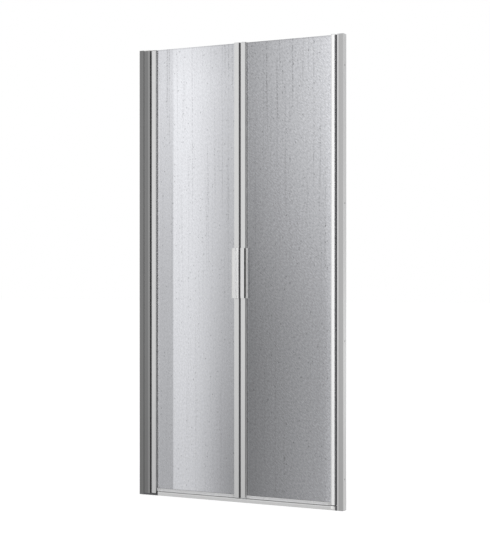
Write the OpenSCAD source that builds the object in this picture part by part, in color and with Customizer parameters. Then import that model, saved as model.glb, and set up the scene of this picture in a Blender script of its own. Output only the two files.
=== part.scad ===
// Bifold shower door: two glass leaves in aluminium stiles, hinged together at the fold.
// The left leaf turns on two pivots at the hinge post, and a shoe that runs in the bottom rail
// carries the free edge of the right leaf. X runs along the door, Y from front to back and Z up.
// The origin is under the middle of the bottom rail, and the door folds to the front, towards -Y.

/* [Door] */
// Width over the two wall channels
door_w = 950; // [850:10:1050]
// Height of the door
door_h = 1900; // [1800:10:2050]
// Angle to which the left leaf opens
fold_max = 80; // [60:5:82]

/* [Wall channels] */
// Width of a wall channel seen from the front
channel_w = 21; // [20:0.5:26]
// Wall thickness of the wall channels
channel_t = 1.8; // [1.5:0.1:2.2]
// Radius of the holes for the wall screws
wall_hole_r = 2.75; // [2.25:0.25:3.25]
// Number of wall screw holes in a channel
wall_hole_count = 4; // [3:1:5]
// Distance of the outer wall screw holes from the channel's ends
wall_hole_edge = 125; // [100:5:150]

/* [Posts] */
// Depth of both posts from front to back
post_d = 26; // [24:0.5:28]
// Wall thickness of the posts
post_t = 1.6; // [1.3:0.1:2]
// How far a post reaches into its wall channel
post_insert = 15; // [12:0.5:17]
// Width of the hinge post that shows
hinge_post_show = 29.5; // [22:0.5:32]
// Width of the strike post that shows
strike_post_show = 7.5; // [7:0.5:20]
// Clearance between a post and its channel's flange
post_fit = 0.2; // [0.1:0.05:0.3]
// Radius of the screw ports inside the hinge post
port_r = 1.9; // [1.6:0.1:2.2]
// Number of screws that fix a post in its channel
post_screw_count = 3; // [2:1:4]
// Distance of the outer post screws from the channel's ends
post_screw_edge = 200; // [150:10:250]

/* [Stiles] */
// Depth of the stiles from front to back
stile_d = 27; // [25:0.5:29]
// Wall thickness of the stiles
stile_t = 1.6; // [1.3:0.1:1.8]
// Width of the heel stile
heel_stile_w = 21; // [20:0.5:26]
// Width of the two fold stiles
fold_stile_w = 22; // [21:0.5:26]
// Width of the closing stile
closing_stile_w = 16; // [16:0.5:20]
// Radius of the stiles' outer corners
corner_r = 1.2; // [0.6:0.1:1.4]
// Thickness of the caps on the stiles' top ends
cap_t = 1.5; // [1:0.1:2]
// Thickness of the feet under the stiles
foot_t = 3; // [2.5:0.25:4]
// Length of the prongs that hold a cap or a foot in its stile
prong_l = 14; // [10:1:20]
// Clearance around a prong
prong_fit = 0.15; // [0.1:0.05:0.2]

/* [Gaps] */
// Gap between the hinge post and the heel stile
heel_gap = 10; // [9.5:0.5:12]
// Gap between the two fold stiles
fold_gap = 9; // [7.6:0.2:9]
// Gap between the closing stile and the strike post
closing_gap = 11; // [8:0.5:12]
// Clearance between the open leaf's front and the hinge post
swing_clear = 0.5; // [0.4:0.1:1]
// Clearance between the rail's top and the leaves
leaf_clear = 1.8; // [1.8:0.1:3]
// Clearance between a seal and what it wipes
seal_clear = 0.3; // [0.2:0.05:0.4]

/* [Glass] */
// Thickness of the glass
glass_t = 6; // [5:1:6]
// How far the glass reaches into a stile
glass_grip = 9; // [7:0.5:9]
// Thickness of a gasket beside the glass
gasket_t = 1.5; // [1:0.1:1.8]
// Thickness of a gasket behind the glass edge
gasket_back = 1; // [0.8:0.1:1.2]
// How far a gasket stands out of its stile
gasket_lip = 1.2; // [1:0.1:2]

/* [Pivots] */
// Distance of the pivot axis from the heel stile's edge
pivot_in = 6; // [5.5:0.25:6.5]
// Radius of the pivot pins and of the guide pin
pivot_pin_r = 2.5; // [2:0.1:2.5]
// Radial clearance of a pin that turns
run_fit = 0.05; // [0.03:0.01:0.08]
// Length of a pivot pin inside the heel stile
pivot_pin_l = 22; // [16:1:30]
// Height of the bottom pivot bracket
bracket_h = 7; // [6:0.5:10]
// Thickness of the top pivot bracket
bracket_top_t = 2.5; // [2:0.25:4]
// Half the width of the top bracket's arm
arm_half_w = 4.8; // [4.4:0.1:5]
// Thickness of the thrust washer under the heel stile
washer_t = 1; // [0.8:0.1:1.5]
// Radius of the thrust washer
washer_r = 5.5; // [4.5:0.25:6]
// Depth of the pivot plugs' cores from front to back
plug_core_d = 14; // [10:1:16]

/* [Fold hinges] */
// Height of a hinge
hinge_h = 100; // [80:10:140]
// Distance from the leaf's ends to the middle of the outer hinges
hinge_edge = 130; // [100:10:200]
// Number of knuckles in a hinge
knuckle_count = 5; // [3:2:7]
// Outer radius of the knuckles
knuckle_r = 3.6; // [3.2:0.1:3.7]
// Gap between two knuckles of a hinge
knuckle_gap = 0.4; // [0.3:0.1:0.6]
// Radius of a hinge pin
hinge_pin_r = 2; // [1.5:0.1:2.2]
// Width of a hinge plate on its stile
plate_w = 15.8; // [14:0.2:16]
// Thickness of a hinge plate, and depth of the rebate it lies in
plate_t = 2; // [1.5:0.1:2.5]
// Number of screws in a hinge plate
plate_screw_count = 3; // [2:1:4]

/* [Screws] */
// Radius of the screw shanks
screw_r = 1.6; // [1.4:0.1:1.7]
// Radius of the screw heads
screw_head_r = 3.2; // [2.8:0.1:3.4]
// Length of the screws
screw_l = 9; // [7:0.5:12]
// Radial clearance around a screw shank
screw_fit = 0.1; // [0.05:0.05:0.2]
// Height of a pan head
pan_head_h = 1.8; // [1.4:0.1:2.2]

/* [Bottom rail] */
// Height of the bottom rail
rail_h = 16; // [15:0.5:20]
// Wall thickness of the rail
rail_t = 1.6; // [1.3:0.1:2]
// Width of the guide groove
groove_w = 10; // [9:0.5:11]
// Thickness of the rail under the groove
groove_floor = 3; // [2:0.5:4]
// Radius of the rail's upper edges
rail_round = 3; // [1.5:0.5:4]
// Thickness of the cap on the rail's left end
rail_cap_t = 1.5; // [1:0.1:2]
// Length of an end stop in the groove
stop_l = 10; // [8:0.5:14]
// Space between the shoe and an end stop
stop_clear = 0.8; // [0.6:0.1:1.5]

/* [Guide shoe] */
// Distance of the guide pin from the closing stile's edge
guide_in = 8.5; // [7.5:0.25:9.5]
// Length of the shoe along the rail
shoe_l = 20; // [16:1:20]
// Clearance of the shoe in the groove
shoe_fit = 0.3; // [0.25:0.05:0.4]
// Thickness of the bridge from the shoe to its apron
bridge_t = 1.2; // [1:0.1:1.2]
// Width of the apron in front of the rail
apron_w = 13; // [10:0.5:16]
// Thickness of the apron
apron_t = 1.6; // [1.2:0.1:2]
// Height of the apron's lower edge
apron_z = 6; // [4:0.5:9]

/* [Handles] */
// Length of a handle
handle_l = 206; // [150:2:260]
// Height of the handles' middle
handle_z = 947; // [900:1:1000]
// How far a handle stands out in front of its stile
handle_out = 15; // [13:0.5:24]
// Width of a handle's front
handle_front_w = 16.5; // [14:0.5:24]
// Width of a handle's base on the stile
handle_base_w = 26; // [24:0.5:30]
// Distance of a handle from its stile's fold edge
handle_in = 6.5; // [6:0.1:6.6]
// How far a handle's base reaches past its web, towards the fold
handle_flange = 5.5; // [3:0.5:5.5]
// Thickness of a handle's front and base
handle_sheet_t = 2; // [1.6:0.1:2.6]
// Thickness of a handle's web
handle_web_t = 4.5; // [4.2:0.1:5]
// Radius of a handle's bolts
handle_bolt_r = 1.5; // [1.2:0.1:1.5]
// Distance of a handle's bolts from its ends
handle_bolt_edge = 20; // [15:1:40]

/* [Seals] */
// Wall thickness of the hollow seals
seal_wall = 1.2; // [1:0.1:1.4]
// Width of the slots that hold the seals' tongues
slot_w = 1.6; // [1.4:0.1:2]
// Distance of the fold seal from the stiles' front
fold_seal_in = 6; // [5.5:0.25:7]
// Gap between the two magnet strips
magnet_gap = 1; // [0.9:0.1:1.5]
// Depth of the magnet strips from front to back
magnet_d = 12; // [10:0.5:14]
// Height of the bottom seals on the glass
bottom_seal_h = 12; // [9:0.5:16]
// Thickness of a bottom seal's legs
bottom_seal_t = 1.2; // [1:0.1:1.5]
// How far the drip fin of a bottom seal stands out to the front
drip_fin = 3; // [2:0.5:5]

/* [Hidden] */
$fn = 64;
over = 1;   // how far a cutter runs past what it cuts

// Depths of the profiles, and half depths from the mid plane
channel_d = post_d + 2 * (post_fit + channel_t);
half_d = stile_d / 2;
groove_half = glass_t / 2 + gasket_t;
groove_depth = glass_grip + gasket_back;
jaw_in = groove_half + stile_t;

// Places along the door
left_wall = -door_w / 2;
right_wall = door_w / 2;
left_channel_edge = left_wall + channel_w;
right_channel_edge = right_wall - channel_w;
hinge_post_face = left_channel_edge + hinge_post_show;
strike_post_face = right_channel_edge - strike_post_show;
heel_x = hinge_post_face + heel_gap;
closing_x = strike_post_face - closing_gap;

// The three axes: pivot, fold and guide. Both leaves have the same length between their axes,
// so the guide axis stays on the line through the pivot axis, and the fold axis lies behind it.
pivot_x = heel_x + pivot_in;
pivot_y = heel_gap + pivot_in - swing_clear - half_d;
guide_x = closing_x - guide_in;
fold_x = (pivot_x + guide_x) / 2;
fold_y = half_d;
leaf_link = norm([fold_x - pivot_x, fold_y - pivot_y]);
rest_lean = atan2(fold_y - pivot_y, fold_x - pivot_x);
guide_open_x = pivot_x + 2 * leaf_link * cos(fold_max - rest_lean);
left_fold_x = fold_x - fold_gap / 2;
right_fold_x = fold_x + fold_gap / 2;

// The heel turns inside a circle about the pivot axis, and the rail starts outside of it
nose_r = half_d + pivot_y;
bulb_r = heel_gap + pivot_in - seal_clear;
heel_sweep = norm([heel_stile_w - pivot_in, nose_r]);
rail_x0 = pivot_x + heel_sweep + swing_clear;

// Heights
leaf_z = rail_h + leaf_clear;
stile_z = leaf_z + foot_t;
leaf_h = door_h - cap_t - stile_z;
heel_z = bracket_h + washer_t + cap_t;
heel_top = door_h - bracket_top_t - seal_clear - cap_t;
channel_h = door_h - cap_t;
post_top = door_h - bracket_top_t;

// Edges of the glass panes
left_glass_x0 = heel_x + heel_stile_w - glass_grip;
left_glass_x1 = left_fold_x - fold_stile_w + glass_grip;
right_glass_x0 = right_fold_x + fold_stile_w - glass_grip;
right_glass_x1 = closing_x - closing_stile_w + glass_grip;

// Seals and magnets
magnet_t = (closing_gap - magnet_gap) / 2;
tongue_l = 3;
barb_w = slot_w + 1.2;
magnet_z = stile_z;

// Guide shoe and groove
groove_y0 = pivot_y - groove_w / 2;
groove_y1 = pivot_y + groove_w / 2;
shoe_z0 = groove_floor + shoe_fit;
bridge_z = rail_h + shoe_fit;
apron_y = -half_d - shoe_fit;
shut_overshoot = 2 * (leaf_link - (fold_x - pivot_x));
stop_z = rail_h - stop_clear;
stop_screw_z = (groove_floor + stop_z) / 2;
open_stop_x = guide_open_x - (shoe_l + stop_l) / 2 - stop_clear;
shut_stop_x = guide_x + shoe_l / 2 + shut_overshoot + stop_clear;
rail_len = shut_stop_x - rail_x0 - rail_cap_t;

// Pivot hardware
plug_u0 = stile_t + prong_fit;
plug_u1 = heel_stile_w - groove_depth - stile_t - prong_fit;
port_x1 = left_channel_edge + 6;
port_x2 = hinge_post_face - 7;
bore_r = pivot_pin_r + run_fit;
pin_head_h = 1.2;
pin_head_r = hinge_pin_r + 1.2;

// Hinges
hinge_z = [stile_z + hinge_edge, handle_z, door_h - cap_t - hinge_edge];   // middle one at the handles
knuckle_pitch = hinge_h / knuckle_count;
knuckle_h = knuckle_pitch - knuckle_gap;

// Handles
handle_z0 = handle_z - handle_l / 2;
handle_bolt_u = handle_in + handle_web_t / 2;
handle_bolt_z = [handle_z0 + handle_bolt_edge, handle_z0 + handle_l - handle_bolt_edge];
handle_bolt_head_h = 1.6;
handle_round = 0.6;

// Colours
aluminium_grey = [0.62, 0.63, 0.64];
satin_silver = [0.8, 0.81, 0.82];
seal_black = [0.09, 0.09, 0.1];
clear_grey = [0.72, 0.75, 0.78, 0.6];
glass_tint = [0.78, 0.83, 0.86, 0.4];
steel = [0.72, 0.72, 0.72];
dark_plastic = [0.2, 0.2, 0.21];
white_plastic = [0.93, 0.93, 0.92];

// ---- Shared outlines and helpers ----

// Flat rectangle from corner a to corner b
module rect2(a, b) {
    translate(a)
        square([b.x - a.x, b.y - a.y]);
}

// Rectangle from corner a to corner b with round corners of radius r
module round_rect2(a, b, r) {
    rect2([a.x + r, a.y], [b.x - r, b.y]);
    rect2([a.x, a.y + r], [b.x, b.y - r]);
    for (x = [a.x + r, b.x - r])
        for (y = [a.y + r, b.y - r])
            translate([x, y])
                circle(r);
}

// Extrusion of a flat outline from height z0 to height z1
module rise(z0, z1) {
    translate([0, 0, z0])
        linear_extrude(z1 - z0)
            children();
}

// Block between two corners
module block(a, b) {
    translate(a)
        cube([b.x - a.x, b.y - a.y, b.z - a.z]);
}

// Places what is drawn along +X from an edge at x, facing right (dir = 1) or left (dir = -1)
module from_edge(x, dir) {
    translate([x, 0, 0])
        mirror([dir < 0 ? 1 : 0, 0, 0])
            children();
}

// Cylinder along Y from y0 to y1
module bar_y(x, z, y0, y1, r) {
    translate([x, y1, z])
        rotate([90, 0, 0])
            cylinder(h = y1 - y0, r = r);
}

// Countersunk screw along +Y, its flat head at the local origin and its tip ahead
module countersunk(head_r, shank_r, length) {
    rotate([-90, 0, 0]) {
        cylinder(h = head_r - shank_r, r1 = head_r, r2 = shank_r);
        cylinder(h = length, r = shank_r);
    }
}

// Countersunk hole for a screw, going down from the local origin
module countersunk_hole(depth) {
    mirror([0, 0, 1]) {
        cylinder(h = screw_head_r - screw_r, r1 = screw_head_r, r2 = screw_r);
        cylinder(h = depth, r = screw_r + screw_fit);
    }
}

// Pan-head screw along +Y: the head stands in front of the local origin
module pan_screw(length) {
    rotate([-90, 0, 0]) {
        translate([0, 0, -pan_head_h])
            cylinder(h = pan_head_h, r = screw_head_r);
        cylinder(h = length, r = screw_r);
    }
}

// ---- Stile profiles, drawn from the free edge (u = 0) towards the glass ----

// Walls of the glazing channel of a stile of width w
module glazing_walls2(w) {
    rect2([w - groove_depth - stile_t, -jaw_in], [w, jaw_in]);
}

// Opening of the glazing channel
module glazing_groove2(w) {
    rect2([w - groove_depth, -groove_half], [w + over, groove_half]);
}

// Outline of the heel stile: its nose is round about the pivot axis
module heel_outline2(inset) {
    intersection() {
        round_rect2([inset, -half_d + inset], [heel_stile_w - inset, half_d - inset],
            max(corner_r - inset, 0.2));
        union() {
            translate([pivot_in, pivot_y])
                circle(nose_r - inset);
            rect2([pivot_in, -half_d], [heel_stile_w, half_d]);
        }
    }
}

// Section of the heel stile
module heel_section2() {
    difference() {
        heel_outline2(0);
        difference() {
            heel_outline2(stile_t);
            glazing_walls2(heel_stile_w);
        }
        glazing_groove2(heel_stile_w);
        rect2([-over, pivot_y - slot_w / 2], [stile_t + over, pivot_y + slot_w / 2]);
    }
}

// Outline of a box stile. A rebate at the back holds the hinge plates.
module box_outline2(w, rebate) {
    difference() {
        round_rect2([0, -half_d], [w, half_d], corner_r);
        if (rebate)
            rect2([-over, half_d - plate_t], [plate_w, half_d + over]);
    }
}

// Section of a box stile with a slot for a seal at depth slot_y, if slotted
module box_section2(w, rebate, slotted, slot_y) {
    difference() {
        box_outline2(w, rebate);
        difference() {
            rect2([stile_t, -half_d + stile_t], [w - stile_t, half_d - stile_t]);
            glazing_walls2(w);
            if (rebate)
                rect2([0, half_d - plate_t - stile_t], [plate_w + stile_t, half_d]);
        }
        glazing_groove2(w);
        if (slotted)
            rect2([-over, slot_y - slot_w / 2], [stile_t + over, slot_y + slot_w / 2]);
    }
}

// Prongs that sit in the hollow jaws beside the glazing channel
module jaw_prongs2(w) {
    depth = half_d - plate_t - stile_t - prong_fit;
    for (side = [-1, 1])
        rect2([w - groove_depth, side < 0 ? -depth : jaw_in + prong_fit],
            [w - stile_t - prong_fit, side < 0 ? -jaw_in - prong_fit : depth]);
}

// Foot under a box stile, with prongs up into it
module stile_foot(w) {
    rise(leaf_z, stile_z)
        round_rect2([0, -half_d], [w, half_d], corner_r);
    rise(stile_z, stile_z + prong_l)
        jaw_prongs2(w);
}

// Cap on top of a box stile, with prongs down into it
module stile_cap(w) {
    rise(door_h - cap_t, door_h)
        round_rect2([0, -half_d], [w, half_d], corner_r);
    rise(door_h - cap_t - prong_l, door_h - cap_t)
        jaw_prongs2(w);
}

// Gasket around the glass edge in a stile of width w, with two lips on the glass
module gasket2(w) {
    difference() {
        union() {
            rect2([w - groove_depth, -groove_half], [w + gasket_lip - gasket_t / 2, groove_half]);
            for (side = [-1, 1])
                translate([w + gasket_lip - gasket_t / 2, side * (glass_t / 2 + gasket_t / 2)])
                    circle(gasket_t / 2);
        }
        rect2([w - glass_grip, -glass_t / 2], [w + gasket_lip + over, glass_t / 2]);
    }
}

// Tongue with a barb that holds a seal in a slot, drawn from u = 0 into the stile
module tongue2(wall) {
    rect2([0, -slot_w / 2], [tongue_l, slot_w / 2]);
    polygon([[wall, -barb_w / 2], [tongue_l + 1, 0], [wall, barb_w / 2]]);
}

// ---- Frame ----

// U channel that is screwed to the wall, drawn from the wall at x = 0
module wall_channel() {
    half = channel_d / 2;
    difference() {
        rise(0, channel_h)
            difference() {
                round_rect2([0, -half], [channel_w, half], channel_t / 3);
                rect2([channel_t, -half + channel_t], [channel_w + over, half - channel_t]);
                for (y = [-half / 2, half / 2])
                    translate([0, y])
                        circle(channel_t / 3);
            }
        for (i = [0 : wall_hole_count - 1])
            translate([-over, 0, wall_hole_edge
                + i * (door_h - 2 * wall_hole_edge) / (wall_hole_count - 1)])
                rotate([0, 90, 0])
                    cylinder(h = channel_t + 2 * over, r = wall_hole_r);
        for (z = post_screw_z())
            bar_y(channel_w - post_insert / 2, z, half - channel_t - over, half + over,
                screw_r + screw_fit);
    }
}

// Heights of the screws that fix a post in its channel
function post_screw_z() = [for (i = [0 : post_screw_count - 1])
    post_screw_edge + i * (door_h - 2 * post_screw_edge) / (post_screw_count - 1)];

// Holes for the post screws in a post, drawn from the channel's wall side
module post_screw_holes(x) {
    for (z = post_screw_z())
        bar_y(x, z, post_d / 2 - post_t - over, post_d / 2 + over, screw_r + screw_fit);
}

module left_wall_channel() {
    color(aluminium_grey)
        from_edge(left_wall, 1)
            wall_channel();
}

module right_wall_channel() {
    color(satin_silver)
        from_edge(right_wall, -1)
            wall_channel();
}

// Hollow hinge post with a cross wall and two screw ports for the pivot brackets
module hinge_post() {
    half = post_d / 2;
    x0 = left_channel_edge - post_insert;
    port_wall_r = port_r + post_t;
    color(aluminium_grey)
        difference() {
            rise(bracket_h, post_top)
                difference() {
                    round_rect2([x0, -half], [hinge_post_face, half], corner_r);
                    difference() {
                        rect2([x0 + post_t, -half + post_t],
                            [hinge_post_face - post_t, half - post_t]);
                        rect2([left_channel_edge - post_t, -half], [left_channel_edge, half]);
                        for (x = [port_x1, port_x2]) {
                            translate([x, 0])
                                circle(port_wall_r);
                            rect2([x - post_t / 2, 0], [x + post_t / 2, half]);
                        }
                    }
                    for (x = [port_x1, port_x2])
                        translate([x, 0])
                            circle(port_r);
                }
            post_screw_holes(left_channel_edge - post_insert / 2);
        }
}

// Hollow strike post with a slot for its magnet strip
module strike_post() {
    half = post_d / 2;
    x1 = right_channel_edge + post_insert;
    color(satin_silver)
        difference() {
            rise(0, channel_h)
                difference() {
                    round_rect2([strike_post_face, -half], [x1, half], corner_r);
                    difference() {
                        rect2([strike_post_face + post_t, -half + post_t],
                            [x1 - post_t, half - post_t]);
                        rect2([right_channel_edge, -half], [right_channel_edge + post_t, half]);
                    }
                    rect2([strike_post_face - over, -slot_w / 2],
                        [strike_post_face + post_t + over / 2, slot_w / 2]);
                }
            post_screw_holes(right_channel_edge + post_insert / 2);
            bar_x(strike_post_face - over, strike_post_face + post_t + over, stop_screw_z,
                screw_r + screw_fit);
        }
}

// Cylinder along X from x0 to x1, on the groove's middle
module bar_x(x0, x1, z, r) {
    translate([x0, pivot_y, z])
        rotate([0, 90, 0])
            cylinder(h = x1 - x0, r = r);
}

// Cap on the left wall channel, with a plug between its web and the post
module left_channel_cap() {
    half = channel_d / 2;
    color(dark_plastic) {
        rise(channel_h, door_h)
            round_rect2([left_wall, -half], [left_channel_edge, half], channel_t / 3);
        rise(channel_h - prong_l, channel_h)
            rect2([left_wall + channel_t + prong_fit, -half / 2],
                [left_channel_edge - post_insert - prong_fit, half / 2]);
    }
}

// Cap on the right wall channel and the strike post, with a plug in the post
module right_jamb_cap() {
    half = channel_d / 2;
    post_half = post_d / 2;
    inner = post_half - post_t - prong_fit;
    color(satin_silver) {
        rise(channel_h, door_h) {
            round_rect2([right_channel_edge, -half], [right_wall, half], channel_t / 3);
            round_rect2([strike_post_face, -post_half], [right_wall - channel_t, post_half], corner_r);
        }
        rise(channel_h - prong_l, channel_h)
            rect2([right_channel_edge + post_t + prong_fit, -inner],
                [right_channel_edge + post_insert - post_t - prong_fit, inner]);
    }
}

// Screws through the channels' back flanges into the posts
module post_screws() {
    color(steel)
        for (x = [left_channel_edge - post_insert / 2, right_channel_edge + post_insert / 2])
            for (z = post_screw_z())
                translate([x, channel_d / 2, z])
                    rotate([0, 0, 180])
                        pan_screw(screw_l);
}

// Plate on the hinge post with an arm over the heel stile
module top_pivot_bracket() {
    half = post_d / 2;
    color(satin_silver)
        difference() {
            rise(post_top, door_h) {
                round_rect2([left_channel_edge, -half], [hinge_post_face, half], corner_r);
                rect2([hinge_post_face - over, pivot_y - arm_half_w], [pivot_x, pivot_y + arm_half_w]);
                translate([pivot_x, pivot_y])
                    circle(arm_half_w);
            }
            translate([pivot_x, pivot_y, post_top - over])
                cylinder(h = bracket_top_t + 2 * over, r = pivot_pin_r);
            for (x = [port_x1, port_x2])
                translate([x, 0, door_h])
                    countersunk_hole(bracket_top_t + over);
        }
}

// Plate under the hinge post that runs on to the rail and holds the bottom pivot pin
module bottom_pivot_bracket() {
    half = post_d / 2;
    color(dark_plastic)
        difference() {
            rise(0, bracket_h)
                round_rect2([left_channel_edge - post_insert, -half], [rail_x0, half], corner_r);
            translate([pivot_x, pivot_y, -over])
                cylinder(h = bracket_h + 2 * over, r = pivot_pin_r);
            for (x = [port_x1, port_x2])
                translate([x, 0, 0])
                    mirror([0, 0, 1])
                        countersunk_hole(bracket_h + over);
        }
}

// Pin in the top bracket's arm that reaches down into the heel stile
module top_pivot_pin() {
    color(steel)
        translate([pivot_x, pivot_y, heel_top - pivot_pin_l])
            cylinder(h = door_h - heel_top + pivot_pin_l, r = pivot_pin_r);
}

// Pin in the bottom bracket that carries the heel stile
module bottom_pivot_pin() {
    color(steel)
        translate([pivot_x, pivot_y, 0])
            cylinder(h = heel_z + pivot_pin_l, r = pivot_pin_r);
}

// Countersunk screws that hold the pivot brackets in the post's screw ports
module pivot_bracket_screws() {
    length = screw_l + bracket_h;
    color(steel)
        for (x = [port_x1, port_x2]) {
            translate([x, 0, 0])
                rotate([90, 0, 0])
                    countersunk(screw_head_r, screw_r, length);
            translate([x, 0, door_h])
                rotate([-90, 0, 0])
                    countersunk(screw_head_r, screw_r, length);
        }
}

// Hollow rail with round upper edges and an open guide groove
module bottom_rail() {
    color(satin_silver)
        difference() {
            translate([rail_x0 + rail_cap_t, 0, 0])
                rotate([90, 0, 90])
                    linear_extrude(rail_len)
                        rail_section2();
            translate([open_stop_x, pivot_y, -over])
                cylinder(h = groove_floor + 2 * over, r = screw_r + screw_fit);
        }
}

// Section of the rail: first coordinate is depth, second is height
module rail_section2() {
    difference() {
        rail_outline2();
        rect2([groove_y0, groove_floor], [groove_y1, rail_h + over]);
        rail_chamber2(-half_d + rail_t, groove_y0 - rail_t);
        rail_chamber2(groove_y1 + rail_t, half_d - rail_t);
    }
}

module rail_outline2() {
    rect2([-half_d, 0], [half_d, rail_h - rail_round]);
    rect2([-half_d + rail_round, 0], [half_d - rail_round, rail_h]);
    for (side = [-1, 1])
        translate([side * (half_d - rail_round), rail_h - rail_round])
            circle(rail_round);
}

// Hollow beside the groove, with its outer top corner cut to follow the round edge
module rail_chamber2(y0, y1) {
    intersection() {
        rect2([y0, rail_t], [y1, rail_h - rail_t]);
        union() {
            rect2([-half_d, 0], [half_d, rail_h - rail_round]);
            rect2([-half_d + rail_round, 0], [half_d - rail_round, rail_h]);
            for (side = [-1, 1])
                translate([side * (half_d - rail_round), rail_h - rail_round])
                    circle(max(rail_round - rail_t, 0.2));
        }
    }
}

// Cap that closes the rail's left end, with plugs in its hollows
module rail_end_cap() {
    color(dark_plastic) {
        translate([rail_x0, 0, 0])
            rotate([90, 0, 90])
                linear_extrude(rail_cap_t)
                    rail_outline2();
        translate([rail_x0 + rail_cap_t, 0, 0])
            rotate([90, 0, 90])
                linear_extrude(prong_l)
                    rail_plugs2();
    }
}

module rail_plugs2() {
    rect2([-half_d + rail_t + rail_round, rail_t + prong_fit],
        [groove_y0 - rail_t - prong_fit, rail_h - rail_t - prong_fit]);
    rect2([groove_y1 + rail_t + prong_fit, rail_t + prong_fit],
        [half_d - rail_t - prong_fit, rail_h - rail_round - prong_fit]);
}

// Block in the groove that stops the shoe when the door is folded, and the rail's right end piece
// that stops it when the door is shut
module guide_end_stops() {
    y0 = groove_y0 + shoe_fit;
    y1 = groove_y1 - shoe_fit;
    color(dark_plastic) {
        difference() {
            block([open_stop_x - stop_l / 2, y0, groove_floor], [open_stop_x + stop_l / 2, y1, stop_z]);
            translate([open_stop_x, pivot_y, stop_z])
                countersunk_hole(stop_z);
        }
        difference() {
            translate([shut_stop_x, 0, 0])
                rotate([90, 0, 90])
                    linear_extrude(strike_post_face - shut_stop_x)
                        rail_outline2();
            bar_x(shut_stop_x - over, strike_post_face + over, stop_screw_z, screw_r + screw_fit);
            translate([shut_stop_x, pivot_y, stop_screw_z])
                rotate([0, 0, -90])
                    countersunk(screw_head_r, screw_r, 2 * over);
        }
    }
}

// Screws that hold the end stops
module guide_stop_screws() {
    color(steel) {
        translate([open_stop_x, pivot_y, stop_z])
            rotate([-90, 0, 0])
                countersunk(screw_head_r, screw_r, stop_z - groove_floor / 2);
        translate([shut_stop_x, pivot_y, stop_screw_z])
            rotate([0, 0, -90])
                countersunk(screw_head_r, screw_r, strike_post_face - shut_stop_x + post_t + over);
    }
}

// Section of a magnet strip, drawn from the face it sits on (u = 0) outwards
module magnet_section2(wall) {
    round_rect2([0, -magnet_d / 2], [magnet_t, magnet_d / 2], 0.8);
    mirror([1, 0])
        tongue2(wall);
}

module strike_magnet_strip() {
    color(dark_plastic)
        from_edge(strike_post_face, -1)
            rise(magnet_z, channel_h)
                magnet_section2(post_t);
}

// ---- Left leaf ----

module left_glass() {
    color(glass_tint)
        block([left_glass_x0, -glass_t / 2, stile_z], [left_glass_x1, glass_t / 2, stile_z + leaf_h]);
}

module heel_stile() {
    color(satin_silver)
        from_edge(heel_x, 1)
            rise(heel_z, heel_top)
                heel_section2();
}

module left_fold_stile() {
    color(satin_silver)
        difference() {
            from_edge(left_fold_x, -1)
                rise(stile_z, stile_z + leaf_h)
                    box_section2(fold_stile_w, true, true, -half_d + fold_seal_in);
            hinge_screw_holes(left_fold_x, -1);
            handle_bolt_holes(left_fold_x, -1);
        }
}

module heel_gasket() {
    color(clear_grey)
        from_edge(heel_x, 1)
            rise(stile_z, heel_top)
                gasket2(heel_stile_w);
}

module left_fold_gasket() {
    color(clear_grey)
        from_edge(left_fold_x, -1)
            rise(stile_z, stile_z + leaf_h)
                gasket2(fold_stile_w);
}

// Hollow black seal on the heel, round about the pivot axis so that it wipes the post
module heel_bulb_seal() {
    color(seal_black)
        from_edge(heel_x, 1) {
            rise(heel_z, heel_top)
                difference() {
                    bulb_outline2(bulb_r, 0);
                    bulb_outline2(bulb_r - seal_wall, seal_wall);
                }
            rise(heel_z + pivot_pin_l + prong_l, heel_top - pivot_pin_l - prong_l)
                translate([0, pivot_y])
                    tongue2(stile_t);
        }
}

// Part of a disc about the pivot axis that lies left of the heel stile
module bulb_outline2(r, inset) {
    intersection() {
        translate([pivot_in, pivot_y])
            circle(r);
        rect2([-heel_gap, -half_d + seal_wall + inset], [-inset, half_d - seal_wall - inset]);
    }
}

// Hollow black seal in the gap between the fold stiles
module fold_seal() {
    bulb_w = fold_gap - seal_clear;
    color(seal_black)
        from_edge(left_fold_x, -1)
            translate([0, -half_d + fold_seal_in, 0])
                rise(stile_z, stile_z + leaf_h) {
                    tongue2(stile_t);
                    difference() {
                        translate([-bulb_w / 2, 0])
                            circle(bulb_w / 2);
                        translate([-bulb_w / 2, 0])
                            circle(bulb_w / 2 - seal_wall);
                    }
                    rect2([-seal_wall, -slot_w], [0, slot_w]);
                }
}

// Clear seal clipped on the bottom edge of a pane from x0 to x1, with a drip fin in front
module bottom_seal(x0, x1) {
    leg = glass_t / 2 + bottom_seal_t;
    translate([x0, 0, leaf_z])
        rotate([90, 0, 90])
            linear_extrude(x1 - x0)
                polygon([[-leg - drip_fin, 0], [leg, 0], [leg, bottom_seal_h],
                    [glass_t / 2, bottom_seal_h], [glass_t / 2, foot_t], [-glass_t / 2, foot_t],
                    [-glass_t / 2, bottom_seal_h], [-leg, bottom_seal_h], [-leg, foot_t],
                    [-leg - drip_fin, drip_fin / 5]]);
}

module left_bottom_seal() {
    color(clear_grey)
        bottom_seal(heel_x + heel_stile_w + gasket_lip, left_fold_x - fold_stile_w - gasket_lip);
}

// Plugs in the heel stile's ends with the bores in which it turns on the pivot pins
module heel_pivot_plugs() {
    core = plug_core_d / 2;
    length = pivot_pin_l + 4;
    color(dark_plastic)
        from_edge(heel_x, 1)
            difference() {
                union() {
                    for (z = [heel_z - cap_t, heel_top])
                        rise(z, z + cap_t)
                            difference() {
                                heel_outline2(0);
                                glazing_groove2(heel_stile_w);
                            }
                    for (z = [heel_z, heel_top - length])
                        rise(z, z + length)
                            intersection() {
                                rect2([plug_u0, pivot_y - core], [plug_u1, pivot_y + core]);
                                heel_outline2(stile_t + prong_fit);
                            }
                }
                translate([pivot_in, pivot_y, heel_z - cap_t - over])
                    cylinder(h = heel_top - heel_z + 2 * (cap_t + over), r = bore_r);
            }
}

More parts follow.
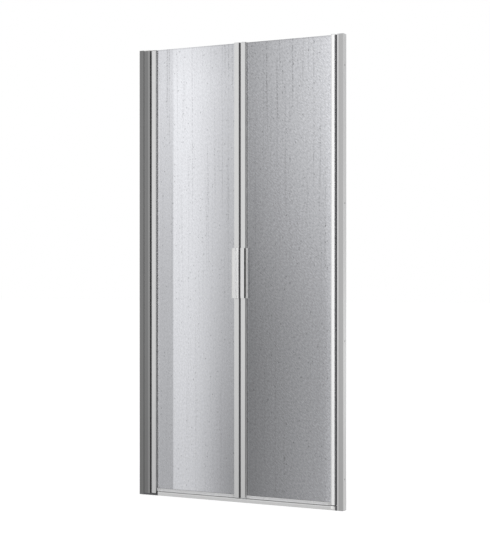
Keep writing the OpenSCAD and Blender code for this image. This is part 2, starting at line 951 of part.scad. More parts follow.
module thrust_washer() {
    color(white_plastic)
        translate([pivot_x, pivot_y, bracket_h])
            difference() {
                cylinder(h = washer_t, r = washer_r);
                translate([0, 0, -over])
                    cylinder(h = washer_t + 2 * over, r = bore_r);
            }
}

module left_fold_stile_caps() {
    color(satin_silver)
        from_edge(left_fold_x, -1) {
            stile_foot(fold_stile_w);
            stile_cap(fold_stile_w);
        }
}

// C-shaped handle bar that opens towards the glass
module handle() {
    base_y = -half_d - handle_sheet_t;
    front_y = -half_d - handle_out;
    u1 = handle_in + handle_front_w;
    rise(handle_z0, handle_z0 + handle_l) {
        round_rect2([handle_in, front_y], [u1, front_y + handle_sheet_t], handle_round);
        round_rect2([handle_in, front_y], [handle_in + handle_web_t, -half_d], handle_round);
        round_rect2([handle_in - handle_flange, base_y], [handle_in + handle_base_w, -half_d],
            handle_round);
    }
}

// Bolts from the stile's back through to the handle's web
module handle_bolts() {
    for (z = handle_bolt_z) {
        bar_y(handle_bolt_u, z, half_d - plate_t, half_d - plate_t + handle_bolt_head_h, screw_head_r);
        bar_y(handle_bolt_u, z, -half_d - handle_sheet_t - 4, half_d - plate_t, handle_bolt_r);
    }
}

// Holes for a handle's bolts in its fold stile
module handle_bolt_holes(x, dir) {
    from_edge(x, dir)
        for (z = handle_bolt_z)
            bar_y(handle_bolt_u, z, -half_d - over, half_d, handle_bolt_r + screw_fit / 2);
}

// Handle with the blind holes for its bolts
module drilled_handle() {
    difference() {
        handle();
        for (z = handle_bolt_z)
            bar_y(handle_bolt_u, z, -half_d - handle_sheet_t - 4, -half_d + over, handle_bolt_r);
    }
}

module left_handle() {
    color(satin_silver)
        from_edge(left_fold_x, -1)
            drilled_handle();
}

module left_handle_bolts() {
    color(steel)
        from_edge(left_fold_x, -1)
            handle_bolts();
}

// ---- Fold hinges ----

// One half of each hinge: plates in the stile's rebate and every second knuckle from first on
module hinge_plates(first) {
    y0 = fold_y - plate_t;
    for (z = hinge_z)
        translate([0, 0, z - hinge_h / 2])
            difference() {
                union() {
                    rise(knuckle_gap / 2, hinge_h - knuckle_gap / 2)
                        rect2([0, y0], [plate_w, fold_y]);
                    for (i = [first : 2 : knuckle_count - 1])
                        rise(i * knuckle_pitch + knuckle_gap / 2, (i + 1) * knuckle_pitch - knuckle_gap / 2) {
                            rect2([-fold_gap / 2, y0], [over, fold_y]);
                            translate([-fold_gap / 2, fold_y])
                                circle(knuckle_r);
                        }
                }
                translate([-fold_gap / 2, fold_y, -over])
                    cylinder(h = hinge_h + 2 * over, r = hinge_pin_r + run_fit);
                for (dz = plate_screw_dz())
                    translate([plate_w / 2, fold_y, hinge_h / 2 + dz])
                        rotate([0, 0, 180])
                            countersunk(screw_head_r, screw_r, plate_t + over);
            }
}

// Places of the screws along a hinge plate, from its middle
function plate_screw_dz() = [for (i = [0 : plate_screw_count - 1])
    (i - (plate_screw_count - 1) / 2) * hinge_h / plate_screw_count];

// Holes for the hinge screws in a fold stile
module hinge_screw_holes(x, dir) {
    from_edge(x, dir)
        for (z = hinge_z)
            for (dz = plate_screw_dz())
                bar_y(plate_w / 2, z + dz, fold_y - plate_t - stile_t - over, fold_y,
                    screw_r + screw_fit);
}

module hinge_screws() {
    for (z = hinge_z)
        for (dz = plate_screw_dz())
            translate([plate_w / 2, fold_y, z + dz])
                rotate([0, 0, 180])
                    countersunk(screw_head_r, screw_r, plate_t + stile_t + 1);
}

module left_hinge_plates() {
    color(steel)
        from_edge(left_fold_x, -1)
            hinge_plates(0);
}

module left_hinge_screws() {
    color(steel)
        from_edge(left_fold_x, -1)
            hinge_screws();
}

// Headed pins of the fold hinges
module fold_hinge_pins() {
    color(steel)
        for (z = hinge_z)
            translate([fold_x, fold_y, z - hinge_h / 2]) {
                cylinder(h = hinge_h, r = hinge_pin_r);
                translate([0, 0, hinge_h - knuckle_gap / 2])
                    cylinder(h = pin_head_h, r = pin_head_r);
            }
}

// ---- Right leaf ----

module right_glass() {
    color(glass_tint)
        block([right_glass_x0, -glass_t / 2, stile_z], [right_glass_x1, glass_t / 2, stile_z + leaf_h]);
}

module right_fold_stile() {
    color(satin_silver)
        difference() {
            from_edge(right_fold_x, 1)
                rise(stile_z, stile_z + leaf_h)
                    box_section2(fold_stile_w, true, false, 0);
            hinge_screw_holes(right_fold_x, 1);
            handle_bolt_holes(right_fold_x, 1);
        }
}

module closing_stile() {
    color(satin_silver)
        from_edge(closing_x, -1)
            rise(stile_z, stile_z + leaf_h)
                box_section2(closing_stile_w, false, true, 0);
}

module right_fold_gasket() {
    color(clear_grey)
        from_edge(right_fold_x, 1)
            rise(stile_z, stile_z + leaf_h)
                gasket2(fold_stile_w);
}

module closing_gasket() {
    color(clear_grey)
        from_edge(closing_x, -1)
            rise(stile_z, stile_z + leaf_h)
                gasket2(closing_stile_w);
}

module right_bottom_seal() {
    color(clear_grey)
        bottom_seal(right_fold_x + fold_stile_w + gasket_lip, closing_x - closing_stile_w - gasket_lip);
}

module right_fold_stile_caps() {
    color(satin_silver)
        from_edge(right_fold_x, 1) {
            stile_foot(fold_stile_w);
            stile_cap(fold_stile_w);
        }
}

module closing_stile_cap() {
    color(satin_silver)
        from_edge(closing_x, -1)
            stile_cap(closing_stile_w);
}

// Foot of the closing stile, with a hole for the guide pin
module guide_foot() {
    color(dark_plastic)
        from_edge(closing_x, -1)
            difference() {
                stile_foot(closing_stile_w);
                translate([guide_in, pivot_y, leaf_z - over])
                    cylinder(h = foot_t + 2 * over, r = pivot_pin_r);
            }
}

// Pin that carries the closing edge in the shoe
module guide_pin() {
    color(steel)
        translate([guide_x, pivot_y, shoe_z0 + stop_clear])
            cylinder(h = stile_z - shoe_z0 - stop_clear, r = pivot_pin_r);
}

module closing_magnet_strip() {
    color(dark_plastic)
        from_edge(closing_x, 1)
            rise(magnet_z, stile_z + leaf_h)
                magnet_section2(stile_t);
}

module right_handle() {
    color(satin_silver)
        from_edge(right_fold_x, 1)
            drilled_handle();
}

module right_handle_bolts() {
    color(steel)
        from_edge(right_fold_x, 1)
            handle_bolts();
}

module right_hinge_plates() {
    color(steel)
        from_edge(right_fold_x, 1)
            hinge_plates(1);
}

module right_hinge_screws() {
    color(steel)
        from_edge(right_fold_x, 1)
            hinge_screws();
}

// ---- Guide shoe ----

// Slider in the groove, with a bridge over the rail to an apron in front of it
module guide_shoe() {
    width = groove_w - 2 * shoe_fit;
    color(white_plastic)
        difference() {
            union() {
                rise(shoe_z0, bridge_z + bridge_t)
                    round_rect2([guide_x - shoe_l / 2, pivot_y - width / 2],
                        [guide_x + shoe_l / 2, pivot_y + width / 2], 1);
                rise(bridge_z, bridge_z + bridge_t)
                    rect2([guide_x - apron_w / 2, apron_y - apron_t], [guide_x + apron_w / 2, pivot_y]);
                block([guide_x - apron_w / 2, apron_y - apron_t, apron_z],
                    [guide_x + apron_w / 2, apron_y, bridge_z + bridge_t]);
            }
            translate([guide_x, pivot_y, shoe_z0 - over])
                cylinder(h = rail_h + 2 * over, r = bore_r);
        }
}

left_wall_channel();
right_wall_channel();
hinge_post();
strike_post();
left_channel_cap();
right_jamb_cap();
post_screws();
top_pivot_bracket();
bottom_pivot_bracket();
top_pivot_pin();
bottom_pivot_pin();
pivot_bracket_screws();
bottom_rail();
rail_end_cap();
guide_end_stops();
guide_stop_screws();
strike_magnet_strip();
left_glass();
heel_stile();
left_fold_stile();
heel_gasket();
left_fold_gasket();
heel_bulb_seal();
fold_seal();
left_bottom_seal();
heel_pivot_plugs();
thrust_washer();
left_fold_stile_caps();
left_handle();
left_handle_bolts();
left_hinge_plates();
left_hinge_screws();
fold_hinge_pins();
right_glass();
right_fold_stile();
closing_stile();
right_fold_gasket();
closing_gasket();
right_bottom_seal();
right_fold_stile_caps();
closing_stile_cap();
guide_foot();
guide_pin();
closing_magnet_strip();
right_handle();
right_handle_bolts();
right_hinge_plates();
right_hinge_screws();
guide_shoe();
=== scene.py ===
"""Bifold shower door: finishes for every part, studio light and the camera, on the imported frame."""

from collections import namedtuple
import math

import bpy
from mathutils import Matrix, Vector

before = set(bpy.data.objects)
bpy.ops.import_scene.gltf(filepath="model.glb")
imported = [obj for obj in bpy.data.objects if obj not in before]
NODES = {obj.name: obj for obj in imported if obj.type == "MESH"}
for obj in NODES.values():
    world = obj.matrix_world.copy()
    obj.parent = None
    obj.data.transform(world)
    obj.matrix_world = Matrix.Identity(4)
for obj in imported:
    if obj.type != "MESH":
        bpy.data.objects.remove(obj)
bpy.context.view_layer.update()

DOOR_TOP = 1.9
DOOR_MIDDLE = 0.9
GLASS_PLANE = 0.0
FOLD_MIDDLE = 0.00925
scene = bpy.context.scene

# ---- Camera: the photograph's level view, 27.5 degrees to the right of the door's front ----

eye = bpy.data.cameras.new("camera")
eye.lens = 89.93
eye.sensor_width = 36
eye.shift_x = 0.0016
eye.shift_y = -0.0023
eye.clip_end = 200
camera = bpy.data.objects.new("camera", eye)
camera.location = (2.670, -5.081, 0.934)
camera.rotation_euler = (math.radians(90), 0, math.radians(27.52))
scene.collection.objects.link(camera)
scene.camera = camera


# ---- Helpers for node trees ----

class Tree:
    """A node tree being built: add() makes a node; a pair in its inputs is (node, output name)."""

    def __init__(self, tree):
        self.tree = tree

    def add(self, kind, inputs=None, **settings):
        node = self.tree.nodes.new(kind)
        for key, value in settings.items():
            setattr(node, key, value)
        for key, value in (inputs or {}).items():
            self.feed(node, key, value)
        return node

    def feed(self, node, key, value):
        if isinstance(value, tuple) and isinstance(value[0], bpy.types.Node):
            self.tree.links.new(value[0].outputs[value[1]], node.inputs[key])
        else:
            node.inputs[key].default_value = value

    def math(self, operation, a, b=0.0):
        return (self.add("ShaderNodeMath", {0: a, 1: b}, operation=operation), 0)

    def product(self, *factors):
        total = factors[0]
        for factor in factors[1:]:
            total = self.math("MULTIPLY", total, factor)
        return total

    def remap(self, value, low, high, to_low, to_high, kind="LINEAR"):
        node = self.add("ShaderNodeMapRange", {"Value": value, "From Min": low, "From Max": high,
                                               "To Min": to_low, "To Max": to_high},
                        interpolation_type=kind)
        return (node, "Result")

    def choose(self, mask, off, on):
        return self.remap(mask, 0.0, 1.0, off, on)

    def between(self, value, low, high):
        return self.product(self.math("GREATER_THAN", value, low),
                            self.math("LESS_THAN", value, high))

    def mix(self, factor, a, b):
        node = self.add("ShaderNodeMix", {"Factor": factor, 6: a, 7: b}, data_type="RGBA")
        return (node, 2)

    def scaled(self, colour, factor):
        node = self.add("ShaderNodeVectorMath", {0: colour, "Scale": factor}, operation="SCALE")
        return (node, "Vector")

    def noise(self, vector, scale, detail=3.0, rough=0.5):
        node = self.add("ShaderNodeTexNoise", {"Vector": vector, "Scale": scale, "Detail": detail,
                                               "Roughness": rough})
        return (node, "Fac")

    def swing(self, noise, strength):
        """Noise moved to lie evenly about zero, times its strength."""
        return self.product(self.math("SUBTRACT", noise, 0.5), strength)

    def stretched(self, vector, scale):
        node = self.add("ShaderNodeMapping", {"Vector": vector, "Scale": scale})
        return (node, "Vector")

    def place(self):
        return (self.add("ShaderNodeTexCoord"), "Object")

    def axes(self, vector):
        return self.add("ShaderNodeSeparateXYZ", {"Vector": vector})

    def group(self, group, inputs):
        """Puts an effect group in a material with that material's own values."""
        return self.add("ShaderNodeGroup", inputs, node_tree=group)


def effect_group(name, inputs, outputs):
    """An empty effect group: its inputs (name: start value) and outputs (name: socket type)."""
    group = bpy.data.node_groups.new(name, "ShaderNodeTree")
    for label, start in inputs.items():
        kind = "NodeSocketColor" if isinstance(start, tuple) else "NodeSocketFloat"
        socket = group.interface.new_socket(label, in_out="INPUT", socket_type=kind)
        socket.default_value = start
    for label, kind in outputs.items():
        group.interface.new_socket(label, in_out="OUTPUT", socket_type=kind)
    tree = Tree(group)
    return group, tree, tree.add("NodeGroupInput"), tree.add("NodeGroupOutput")


# ---- Effects that several finishes share ----

SKIN_OUTPUTS = {"Colour": "NodeSocketColor", "Roughness": "NodeSocketFloat",
                "Height": "NodeSocketFloat"}


def make_die_lines():
    """Lengthwise lines that an extrusion die leaves, in tone, roughness and height.

    They are noise squeezed across the profile and drawn out along Z.
    """
    least_roughness = 0.03
    group, t, inp, out = effect_group(
        "die_lines", {"Colour": (0.6, 0.6, 0.6, 1.0), "Contrast": 0.08, "Fineness": 700.0,
                      "Roughness": 0.3, "Spread": 0.06}, SKIN_OUTPUTS)
    where = t.place()
    lines = t.noise(t.stretched(where, (1.0, 1.0, 0.0015)), (inp, "Fineness"), detail=2.0,
                    rough=0.6)
    broad = t.noise(t.stretched(where, (1.0, 1.0, 0.02)), scale=60.0, detail=2.0)
    grain = t.noise(where, scale=2600.0, detail=1.0)
    both = t.math("ADD", t.product(lines, 0.65), t.product(broad, 0.35))
    tone = t.math("ADD", t.product(t.swing(both, (inp, "Contrast")), 2.0), 1.0)
    rough = t.math("ADD", (inp, "Roughness"), t.swing(grain, (inp, "Spread")))
    t.feed(out, "Colour", t.scaled((inp, "Colour"), tone))
    t.feed(out, "Roughness", t.math("MAXIMUM", rough, least_roughness))
    t.feed(out, "Height", t.math("ADD", both, t.product(grain, 0.04)))
    return group


def make_moulded_skin():
    """The fine eroded skin of a moulded part: small noise on its tone, roughness and height."""
    roughness_swing = 0.15
    group, t, inp, out = effect_group(
        "moulded_skin", {"Colour": (0.2, 0.2, 0.2, 1.0), "Contrast": 0.1, "Grain": 900.0,
                         "Roughness": 0.45}, SKIN_OUTPUTS)
    where = t.place()
    fine = t.noise(where, (inp, "Grain"), rough=0.6)
    broad = t.noise(where, scale=25.0, detail=2.0)
    both = t.math("ADD", t.product(fine, 0.5), t.product(broad, 0.5))
    tone = t.math("ADD", t.swing(both, (inp, "Contrast")), 1.0)
    t.feed(out, "Colour", t.scaled((inp, "Colour"), tone))
    t.feed(out, "Roughness", t.math("ADD", (inp, "Roughness"), t.swing(broad, roughness_swing)))
    t.feed(out, "Height", fine)
    return group


def make_rain():
    """Rain pattern of the panes: a slanted fine grain, drops in vertical chains, and dotted runs.

    The runs are thickest near the pane's top. The pattern is flat in Y, so it is one layer.
    """
    group, t, inp, out = effect_group(
        "rain", {"Drops": 0.3, "Runs": 0.1, "Grain": 0.1, "Slant": 0.6},
        {"Tone": "NodeSocketFloat", "Height": "NodeSocketFloat"})
    where = t.place()
    turned = (t.add("ShaderNodeVectorRotate", {"Vector": where, "Angle": (inp, "Slant")},
                    rotation_type="Y_AXIS"), "Vector")
    grain = t.noise(t.stretched(turned, (1.0, 0.0, 0.5)), scale=185.0, detail=2.0, rough=0.7)

    cells = t.add("ShaderNodeTexVoronoi", {"Vector": t.stretched(where, (1.0, 0.0, 0.7)),
                                           "Scale": 120.0, "Randomness": 1.0})
    pick = t.add("ShaderNodeSeparateColor", {"Color": (cells, "Color")})
    chains = t.noise(t.stretched(where, (1.0, 0.0, 0.03)), scale=60.0, detail=2.0)
    patches = t.noise(t.stretched(where, (1.0, 0.0, 0.6)), scale=9.0, detail=2.0)
    likely = t.math("ADD", t.product(chains, 0.8), t.product(patches, 0.4))
    chosen = t.remap((pick, "Red"), t.math("SUBTRACT", likely, 0.46),
                     t.math("SUBTRACT", likely, 0.40), 1.0, 0.0)
    smallest, largest = 0.18, 0.40
    size = t.choose((pick, "Green"), smallest, largest)
    dot = t.remap((cells, "Distance"), size, t.product(size, 0.55), 0.0, 1.0, "SMOOTHSTEP")
    drops = t.product(dot, chosen)

    streaks = t.noise(t.stretched(where, (1.0, 0.0, 0.012)), scale=110.0, detail=2.0, rough=0.6)
    beads = t.noise(t.stretched(where, (0.5, 0.0, 1.0)), scale=150.0, detail=1.0)
    fade = t.remap((t.axes(where), "Z"), DOOR_MIDDLE, 1.8, 0.4, 1.3)
    beaded = t.product(t.remap(beads, 0.35, 0.62, 0.1, 1.7), fade)
    runs = t.product(t.remap(streaks, 0.54, 0.68, 0.0, 1.0, "SMOOTHSTEP"), beaded)

    shade = t.math("ADD", t.product(drops, (inp, "Drops")), t.product(runs, (inp, "Runs")))
    shade = t.math("ADD", shade, t.swing(grain, (inp, "Grain")))
    clear = t.math("SUBTRACT", 1.0, shade)
    t.feed(out, "Tone", t.product(clear, clear))
    t.feed(out, "Height", t.math("ADD", t.product(drops, 0.6), t.product(grain, 0.4)))
    return group


DIE_LINES = make_die_lines()
MOULDED_SKIN = make_moulded_skin()
RAIN = make_rain()


# ---- Finishes ----

BUMP_DEPTH = 0.0001
MOULDED_DEPTH = 0.00015
RAIN_DEPTH = 0.0004
WHITE = (1.0, 1.0, 1.0, 1.0)

# A lengthwise ledge of painted light: its limits along X, its rear limit along Y, and its
# share, which paints a highlight above 1 and shade below 1.
PaintedBand = namedtuple("PaintedBand", "start end rear share")
FULL_DEPTH = 0.1

# The rain's grain strength and slant, then the strength of its drops and of its runs.
Pattern = namedtuple("Pattern", "Grain Slant Drops Runs")


def grey(tone):
    return (tone, tone, tone)


def blank(name):
    """A node material holding only its shader, with the tree ready to build on."""
    material = bpy.data.materials.new(name)
    material.use_nodes = True
    tree = Tree(material.node_tree)
    shader = material.node_tree.nodes["Principled BSDF"]
    return material, tree, shader


def bumped(tree, shader, height, strength, depth):
    bump = tree.add("ShaderNodeBump", {"Height": height, "Strength": strength, "Distance": depth})
    tree.feed(shader, "Normal", (bump, "Normal"))


def extruded(name, colour, roughness, contrast=0.08, spread=0.08, fineness=700.0, relief=0.12,
             metallic=1.0, painted_bands=()):
    """Anodised, polished or, where part metallic, lacquered extruded metal with painted light strips.
    """
    material, tree, shader = blank(name)
    skin = tree.group(DIE_LINES, {"Colour": (*colour, 1.0), "Contrast": contrast,
                                  "Spread": spread, "Fineness": fineness, "Roughness": roughness})
    tone = (skin, "Colour")
    # Each painted strip scales the tone by its share: painted highlight above 1, painted shade below
    # 1.
    for painted_band in painted_bands:
        axes = tree.axes(tree.place())
        inside = tree.product(tree.between((axes, "X"), painted_band.start, painted_band.end),
                              tree.math("LESS_THAN", (axes, "Y"), painted_band.rear))
        tone = tree.scaled(tone, tree.choose(inside, 1.0, painted_band.share))
    tree.feed(shader, "Base Color", tone)
    tree.feed(shader, "Roughness", (skin, "Roughness"))
    shader.inputs["Metallic"].default_value = metallic
    bumped(tree, shader, (skin, "Height"), relief, BUMP_DEPTH)
    return material


def handle_finish(name, colour, roughness, web_painted_highlight, recess_painted_shade):
    """Handle metal under silver lacquer, painted highlight on the web, painted shade in the finger
    recess.

    Both handles share it, because they mirror each other about the fold's middle plane.
    """
    web_side, recess_start, recess_end = 0.0156, 0.0154, 0.029
    web_front, recess_front, back = -0.0266, -0.0267, -0.0153
    material, tree, shader = blank(name)
    skin = tree.group(DIE_LINES, {"Colour": (*colour, 1.0), "Contrast": 0.04, "Spread": 0.06,
                                  "Fineness": 500.0, "Roughness": roughness})
    axes = tree.axes(tree.place())
    aside = tree.math("ABSOLUTE", tree.math("SUBTRACT", (axes, "X"), FOLD_MIDDLE))
    # Painted shade: the finger recess gets a dark tone.
    recess = tree.product(tree.between(aside, recess_start, recess_end),
                          tree.between((axes, "Y"), recess_front, back))
    # Painted highlight: the web's side gets a pale tone.
    web = tree.product(tree.math("LESS_THAN", aside, web_side),
                       tree.between((axes, "Y"), web_front, back))
    pale = tree.mix(web, (skin, "Colour"), (*grey(web_painted_highlight), 1.0))
    tree.feed(shader, "Base Color", tree.mix(recess, pale, (*grey(recess_painted_shade), 1.0)))
    tree.feed(shader, "Roughness", (skin, "Roughness"))
    shader.inputs["Metallic"].default_value = 0.25
    shader.inputs["Coat Weight"].default_value = 0.2
    shader.inputs["Coat Roughness"].default_value = 0.2
    bumped(tree, shader, (skin, "Height"), 0.05, BUMP_DEPTH)
    return material


def moulded(name, colour, roughness, grain=900.0, contrast=0.12, relief=0.2, coat=0.0):
    """Moulded plastic or rubber."""
    material, tree, shader = blank(name)
    skin = tree.group(MOULDED_SKIN, {"Colour": (*colour, 1.0), "Contrast": contrast,
                                     "Grain": grain, "Roughness": roughness})
    tree.feed(shader, "Base Color", (skin, "Colour"))
    tree.feed(shader, "Roughness", (skin, "Roughness"))
    shader.inputs["Coat Weight"].default_value = coat
    bumped(tree, shader, (skin, "Height"), relief, MOULDED_DEPTH)
    return material


def clear_seal(name, tone):
    """Translucent soft seal of one grey tone."""
    material, tree, shader = blank(name)
    skin = tree.group(MOULDED_SKIN, {"Colour": (tone, tone, tone * 1.01, 1.0), "Contrast": 0.06,
                                     "Grain": 500.0, "Roughness": 0.25})
    tree.feed(shader, "Base Color", (skin, "Colour"))
    tree.feed(shader, "Roughness", (skin, "Roughness"))
    shader.inputs["Transmission Weight"].default_value = 0.1
    shader.inputs["IOR"].default_value = 1.4
    bumped(tree, shader, (skin, "Height"), 0.1, BUMP_DEPTH)
    return material


def wet_glass(name, fade, foot, tops, bottoms, curves, strip, strip_tones, pattern, crown,
              smooth_highlight_to):
    """Glass with the rain pattern.

    Its grey tone is painted reflection and painted shade of what lies behind and around the pane:
    it goes from one end of fade to the other along X, and down Z to foot. The strip is a part of
    the pane along X, a painted reflection, that has its own share of that tone at the top and at
    the door's middle. The crown is the share of the tone that is left at the pane's top edge, a
    painted shade, and a thin line at the very top edge is darker still. Up to smooth_highlight_to,
    where a stile's rear half is seen through it, the glass is smooth and its tone is raised by a
    painted highlight.
    """
    red_share, blue_share = 0.989, 1.044
    # Share that lifts the tone beside the stile's rear half, a painted highlight, and the tone's cap.
    highlight_share, clearest = 1.45, 0.92
    crown_foot, crown_top, edge_foot, edge_top, edge_share = 1.74, 1.895, 1.893, 1.8965, 0.8
    material, tree, shader = blank(name)
    axes = tree.axes(tree.place())
    # The grey tone across X and down Z, with its strip, is painted reflection and painted shade.
    across = tree.remap((axes, "X"), *fade, 0.0, 1.0, curves[0])
    down = tree.remap((axes, "Z"), DOOR_TOP, foot, 0.0, 1.0, curves[1])
    tone = tree.choose(down, tree.choose(across, *tops), tree.choose(across, *bottoms))
    share = tree.choose(tree.remap((axes, "Z"), DOOR_TOP, DOOR_MIDDLE, 0.0, 1.0), *strip_tones)
    inside = tree.remap((axes, "X"), *strip, 0.0, 1.0, "SMOOTHSTEP")
    rain = tree.group(RAIN, pattern._asdict())
    front = tree.math("LESS_THAN", (axes, "Y"), GLASS_PLANE)
    tone = tree.product(tone, tree.choose(inside, 1.0, share),
                        tree.remap((axes, "Z"), crown_foot, crown_top, 1.0, crown),
                        tree.remap((axes, "Z"), edge_foot, edge_top, 1.0, edge_share),
                        tree.choose(front, 1.0, (rain, "Tone")))
    # Beside the stile's rear half the tone is raised: a painted highlight.
    beside = tree.remap((axes, "X"), smooth_highlight_to - 0.001, smooth_highlight_to + 0.001, 1.0, 0.0)
    tone = tree.math("MINIMUM", tree.product(tone, tree.choose(beside, 1.0, highlight_share)), clearest)
    tint = tree.add("ShaderNodeCombineColor", {"Red": tree.product(tone, red_share),
                                               "Green": tone,
                                               "Blue": tree.product(tone, blue_share)})
    tree.feed(shader, "Base Color", (tint, "Color"))
    shader.inputs["Transmission Weight"].default_value = 1.0
    shader.inputs["Roughness"].default_value = 0.03
    shader.inputs["IOR"].default_value = 1.45
    height = tree.product((rain, "Height"), tree.math("SUBTRACT", 1.0, beside))
    bumped(tree, shader, height, 0.25, RAIN_DEPTH)
    return material


# The left wall channel takes a dark copy of the frame's aluminium: its low tone is painted shade, and
# its strip at the edge is a painted highlight.
channel_grey_painted_shade = extruded("channel_grey_painted_shade", grey(0.183), 0.36,
                        painted_bands=[PaintedBand(-0.4760, -0.4746, FULL_DEPTH, 3.7)])
# The hinge post's low tone is painted shade too; its strips along the lip are painted highlight.
post_grey_painted_shade = extruded("post_grey_painted_shade", grey(0.183), 0.34,
                     painted_bands=[PaintedBand(-0.4340, -0.4247, FULL_DEPTH, 1.4),
                            PaintedBand(-0.4247, -0.4240, FULL_DEPTH, 2.6)])
stile_silver = extruded("stile_silver", grey(0.58), 0.30)
# Heel stile: painted shade on the front of its side face, and a painted highlight on its rear edge,
# seen through the pane.
heel_silver = extruded("heel_silver", grey(0.58), 0.30,
                       painted_bands=[PaintedBand(-0.3950, -0.3938, GLASS_PLANE, 0.58),
                              PaintedBand(-0.3938, -0.3930, FULL_DEPTH, 1.6),
                              PaintedBand(-0.3938, -0.3930, GLASS_PLANE, 0.36)])
# Right fold stile: a strip of painted shade along its side, and a painted highlight on its rear edge,
# seen through the pane.
fold_silver = extruded("fold_silver", grey(0.58), 0.30,
                       painted_bands=[PaintedBand(0.0334, 0.0355, FULL_DEPTH, 0.55),
                              PaintedBand(0.0355, 0.0360, FULL_DEPTH, 1.6),
                              PaintedBand(0.0355, 0.0360, GLASS_PLANE, 0.625)])
post_silver = extruded("post_silver", grey(0.58), 0.30)
# Right wall channel: its strip at the edge is a painted highlight.
channel_silver = extruded("channel_silver", grey(0.40), 0.34,
                          painted_bands=[PaintedBand(0.4746, 0.4760, FULL_DEPTH, 1.7)])
rail_silver = extruded("rail_silver", grey(0.62), 0.32)
# Closing stile: a near-white copy of the frame's aluminium, its tone a painted highlight; its strip
# along the side is painted shade.
closing_stile_painted_highlight = extruded("closing_stile_painted_highlight", grey(0.93), 0.2, contrast=0.04, spread=0.05, metallic=0.4,
                        painted_bands=[PaintedBand(0.4190, 0.4238, FULL_DEPTH, 0.68)])
stainless = extruded("stainless", (0.55, 0.54, 0.53), 0.24, contrast=0.1, spread=0.1,
                     fineness=1500.0)
# Both handles: a painted highlight on the web and painted shade in the recess.
handle_satin = handle_finish("handle_satin", grey(0.72), 0.32, web_painted_highlight=0.97, recess_painted_shade=0.10)
bulb_grey = moulded("bulb_grey", (0.27, 0.27, 0.275), 0.55, grain=700.0)
black_seal = moulded("black_seal", (0.075, 0.075, 0.08), 0.55, grain=700.0)
magnet_grey = moulded("magnet_grey", (0.115, 0.115, 0.12), 0.5, grain=500.0)
dark_cap = moulded("dark_cap", (0.09, 0.09, 0.095), 0.5)
silver_cap = moulded("silver_cap", (0.56, 0.57, 0.58), 0.4, grain=1200.0, contrast=0.06)
white_acetal = moulded("white_acetal", (0.95, 0.95, 0.94), 0.22, grain=600.0, contrast=0.03,
                       relief=0.08, coat=0.3)
clear_strip = clear_seal("clear_strip", 0.60)
bottom_strip = clear_seal("bottom_strip", 0.76)
# Pane tones, fades and strips: painted reflection and painted shade; a crown under 1 adds painted
# shade at the top.
left_pane = wet_glass(
    "left_pane", fade=(-0.27, 0.0), foot=0.1, tops=(0.86, 0.59), bottoms=(0.57, 0.262),
    curves=("SMOOTHSTEP", "LINEAR"), strip=(-0.314, -0.318), strip_tones=(0.86, 0.66),
    pattern=Pattern(0.55, 0.25, 0.28, 0.15), crown=0.89, smooth_highlight_to=-0.3860)
right_pane = wet_glass(
    "right_pane", fade=(0.02, 0.41), foot=0.5, tops=(0.32, 0.64), bottoms=(0.152, 0.325),
    curves=("LINEAR", "SMOOTHSTEP"), strip=(0.375, 0.425), strip_tones=(1.05, 1.25),
    pattern=Pattern(1.15, 0.75, 0.4, 0.18), crown=1.0, smooth_highlight_to=0.0427)

FINISHES = {
    channel_grey_painted_shade: ("left_wall_channel",),
    post_grey_painted_shade: ("hinge_post",),
    post_silver: ("strike_post",),
    channel_silver: ("right_wall_channel",),
    heel_silver: ("heel_stile",),
    stile_silver: ("left_fold_stile",),
    fold_silver: ("right_fold_stile",),
    closing_stile_painted_highlight: ("closing_stile",),
    rail_silver: ("bottom_rail",),
    handle_satin: ("left_handle", "right_handle"),
    stainless: ("post_screws", "top_pivot_bracket", "top_pivot_pin", "bottom_pivot_pin",
                "pivot_bracket_screws", "guide_stop_screws", "left_handle_bolts",
                "left_hinge_plates", "left_hinge_screws", "fold_hinge_pins", "guide_pin",
                "right_handle_bolts", "right_hinge_plates", "right_hinge_screws"),
    bulb_grey: ("heel_bulb_seal",),
    black_seal: ("fold_seal",),
    magnet_grey: ("strike_magnet_strip", "closing_magnet_strip"),
    dark_cap: ("left_channel_cap", "bottom_pivot_bracket", "rail_end_cap", "guide_end_stops",
               "heel_pivot_plugs", "guide_foot"),
    silver_cap: ("right_jamb_cap", "left_fold_stile_caps", "right_fold_stile_caps",
                 "closing_stile_cap"),
    white_acetal: ("thrust_washer", "guide_shoe"),
    clear_strip: ("heel_gasket", "left_fold_gasket", "right_fold_gasket", "closing_gasket"),
    bottom_strip: ("left_bottom_seal", "right_bottom_seal"),
    left_pane: ("left_glass",),
    right_pane: ("right_glass",),
}

for finish, names in FINISHES.items():
    for name in names:
        NODES[name].data.materials.clear()
        NODES[name].data.materials.append(finish)


# ---- Floor, light and background ----

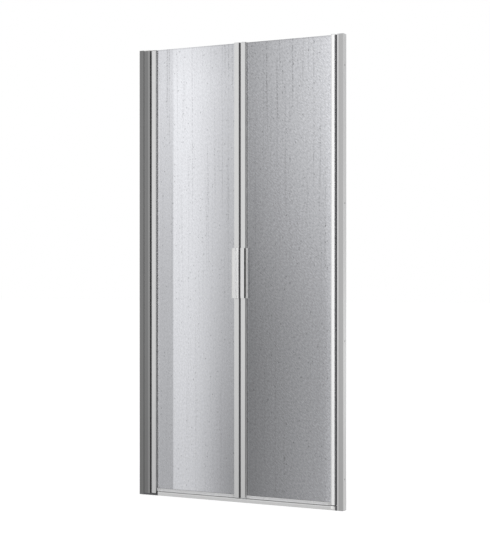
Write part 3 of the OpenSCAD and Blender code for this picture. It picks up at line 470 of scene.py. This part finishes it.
def make_floor():
    """Pale floor: a wide square just under the door, with a glow for seen rays, so it reads white.

    Rays from the panes see an even tone and rays from the metal one that falls off close to the
    door, so nothing shows a step at the horizon.
    """
    half, drop, glow = 40.0, 0.0004, 0.50
    mesh = bpy.data.meshes.new("floor")
    mesh.from_pydata([(-half, -half, 0), (half, -half, 0), (half, half, 0), (-half, half, 0)], [],
                     [(0, 1, 2, 3)])
    floor = bpy.data.objects.new("floor", mesh)
    floor.location.z = -drop
    scene.collection.objects.link(floor)
    material, tree, shader = blank("floor_pale")
    shader.inputs["Base Color"].default_value = (*grey(0.72), 1.0)
    shader.inputs["Roughness"].default_value = 0.9
    shader.inputs["Specular IOR Level"].default_value = 0.0
    rays = tree.add("ShaderNodeLightPath")
    shader.inputs["Emission Color"].default_value = WHITE
    tree.feed(shader, "Emission Strength", tree.product((rays, "Is Camera Ray"), glow))
    away = tree.add("ShaderNodeVectorMath", {0: tree.place()}, operation="LENGTH")
    shine = tree.remap((away, "Value"), 0.5, 9.0, 0.85, 1.15, "SMOOTHSTEP")
    level = tree.choose((rays, "Is Transmission Ray"), shine, 1.0)
    even = tree.add("ShaderNodeEmission", {"Color": WHITE, "Strength": level})
    indirect = tree.math("MAXIMUM", (rays, "Is Transmission Ray"), (rays, "Is Glossy Ray"))
    either = tree.add("ShaderNodeMixShader", {0: indirect, 1: (shader, "BSDF"),
                                              2: (even, "Emission")})
    tree.feed(material.node_tree.nodes["Material Output"], "Surface", (either, "Shader"))
    floor.data.materials.append(material)


def make_world():
    """Even pale light: seen rays get white, and metal a white that falls off to the back."""
    seen_level, fill_level, front = 1.0, 0.75, (-0.46, -0.88, 0.1)
    world = bpy.data.worlds.new("studio")
    world.use_nodes = True
    scene.world = world
    tree = Tree(world.node_tree)
    sky = world.node_tree.nodes["Background"]
    rays = tree.add("ShaderNodeLightPath")
    toward = tree.add("ShaderNodeVectorMath",
                      {0: (tree.add("ShaderNodeTexCoord"), "Generated"), 1: front},
                      operation="DOT_PRODUCT")
    metal = tree.remap((toward, "Value"), -0.9, 0.9, 0.8, 1.2, "SMOOTHSTEP")
    seen = tree.math("MAXIMUM", (rays, "Is Camera Ray"), (rays, "Is Transmission Ray"))
    level = tree.choose((rays, "Is Glossy Ray"), fill_level, metal)
    sky.inputs["Color"].default_value = WHITE
    tree.feed(sky, "Strength", tree.choose(seen, level, seen_level))


def soft_lamp(name, place_at, aim_at, size, watts):
    """Square lamp of the given size in metres, aimed at a point.

    It shows neither through the panes nor mirrored in them, so its edges draw no lines there.
    """
    lamp = bpy.data.lights.new(name, "AREA")
    lamp.size = size
    lamp.energy = watts
    body = bpy.data.objects.new(name, lamp)
    body.location = place_at
    aim = Vector(aim_at) - Vector(place_at)
    body.rotation_euler = aim.to_track_quat("-Z", "Y").to_euler()
    body.visible_transmission = False
    body.visible_glossy = False
    scene.collection.objects.link(body)


make_floor()
make_world()
soft_lamp("right_lamp", (5.6, -2.6, 2.2), aim_at=(0.0, 0.0, 0.95), size=6.0, watts=130.0)
soft_lamp("top_lamp", (0.6, -0.8, 4.2), aim_at=(0.0, 0.0, 0.6), size=2.5, watts=30.0)

scene.view_settings.view_transform = "Standard"
